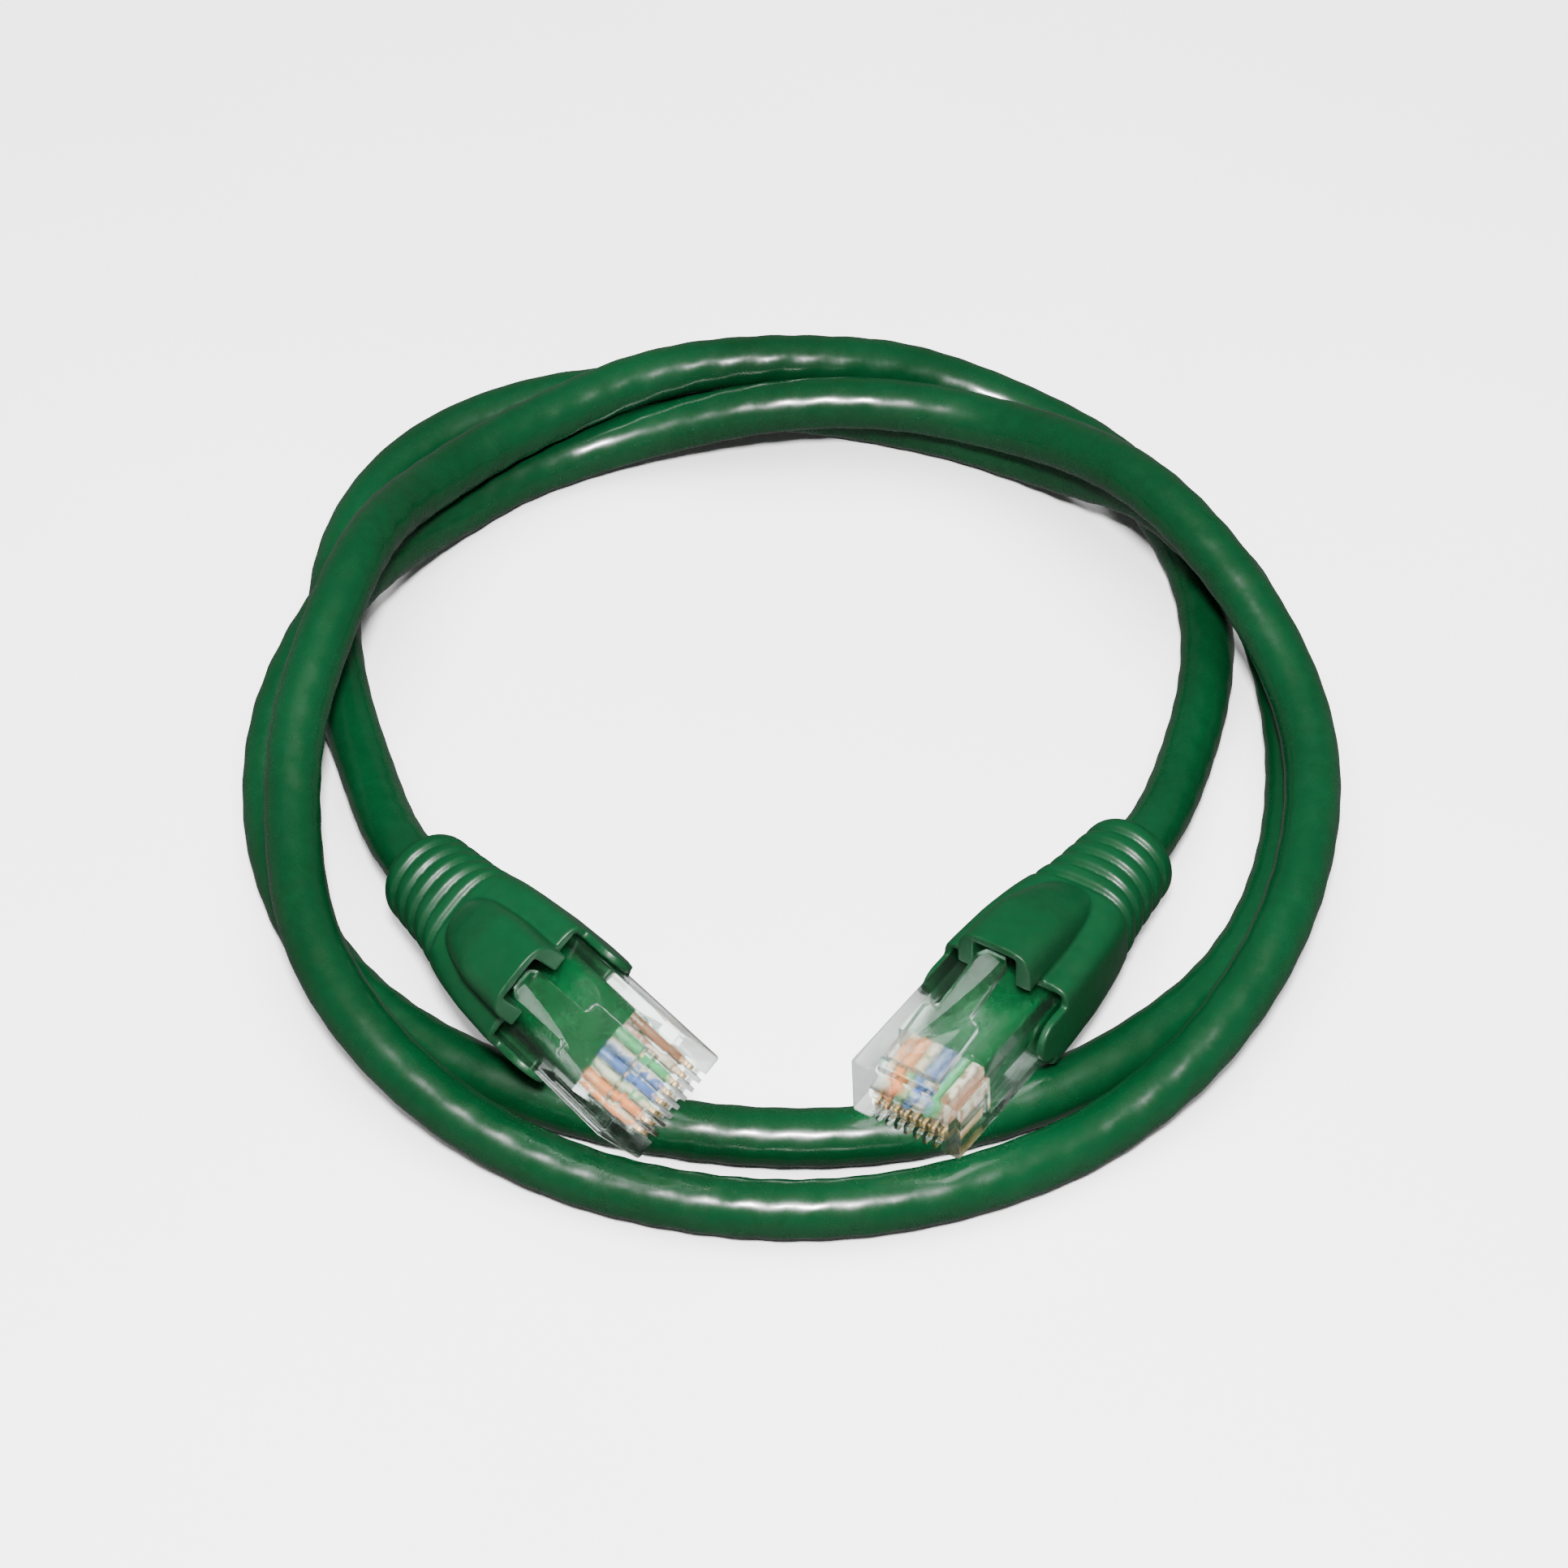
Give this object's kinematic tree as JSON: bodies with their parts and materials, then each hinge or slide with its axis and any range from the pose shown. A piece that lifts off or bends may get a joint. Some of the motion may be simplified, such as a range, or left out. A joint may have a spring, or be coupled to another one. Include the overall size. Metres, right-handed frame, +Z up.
{
  "type": "ethernet patch cable",
  "caption": "Coiled round network patch cable with a clear modular plug at each end, each with a sprung latch and a snagless moulded boot.",
  "frame": {"origin": "middle of the base of the whole object's box, on the surface that the coil lies on", "axes": "+Z up from that surface; the two plugs lie at the -Y side of the coil, plug a on the -X side and plug b on the +X side"},
  "size_m": [0.1088, 0.1094, 0.0227],
  "materials": {
    "jacket_pvc": "glossy green PVC",
    "boot_pvc": "satin green moulded PVC",
    "clear_polycarbonate": "clear, glossy",
    "gold_plate": "gold plate on phosphor bronze",
    "wire_pe_1": "white and orange insulation on copper",
    "wire_pe_2": "orange insulation on copper",
    "wire_pe_3": "white and green insulation on copper",
    "wire_pe_4": "blue insulation on copper",
    "wire_pe_5": "white and blue insulation on copper",
    "wire_pe_6": "green insulation on copper",
    "wire_pe_7": "white and brown insulation on copper",
    "wire_pe_8": "brown insulation on copper"
  },
  "bodies": {
    "cable": {"cable_jacket": "jacket_pvc", "wire_1": "wire_pe_1", "wire_2": "wire_pe_2", "wire_3": "wire_pe_3", "wire_4": "wire_pe_4", "wire_5": "wire_pe_5", "wire_6": "wire_pe_6", "wire_7": "wire_pe_7", "wire_8": "wire_pe_8", "boot_a": "boot_pvc", "boot_b": "boot_pvc", "plug_housing_a": "clear_polycarbonate", "plug_housing_b": "clear_polycarbonate", "contact_1_a": "gold_plate", "contact_2_a": "gold_plate", "contact_3_a": "gold_plate", "contact_4_a": "gold_plate", "contact_5_a": "gold_plate", "contact_6_a": "gold_plate", "contact_7_a": "gold_plate", "contact_8_a": "gold_plate", "contact_1_b": "gold_plate", "contact_2_b": "gold_plate", "contact_3_b": "gold_plate", "contact_4_b": "gold_plate", "contact_5_b": "gold_plate", "contact_6_b": "gold_plate", "contact_7_b": "gold_plate", "contact_8_b": "gold_plate"},
    "latch_a": {"latch_a": "clear_polycarbonate"},
    "latch_b": {"latch_b": "clear_polycarbonate"}
  },
  "joints": [
    {"name": "latch_a_press", "type": "hinge", "parent": "cable", "child": "latch_a", "pos_m": [-0.01461, -0.04841, 0.02031], "axis": [-0.6234, -0.6117, -0.487], "range_deg": [0, 10], "stiffness_Nm_per_rad": 0.05},
    {"name": "latch_b_press", "type": "hinge", "parent": "cable", "child": "latch_b", "pos_m": [0.01159, -0.04489, 0.01558], "axis": [-0.8195, 0.5562, -0.138], "range_deg": [0, 10], "stiffness_Nm_per_rad": 0.05}
  ]
}
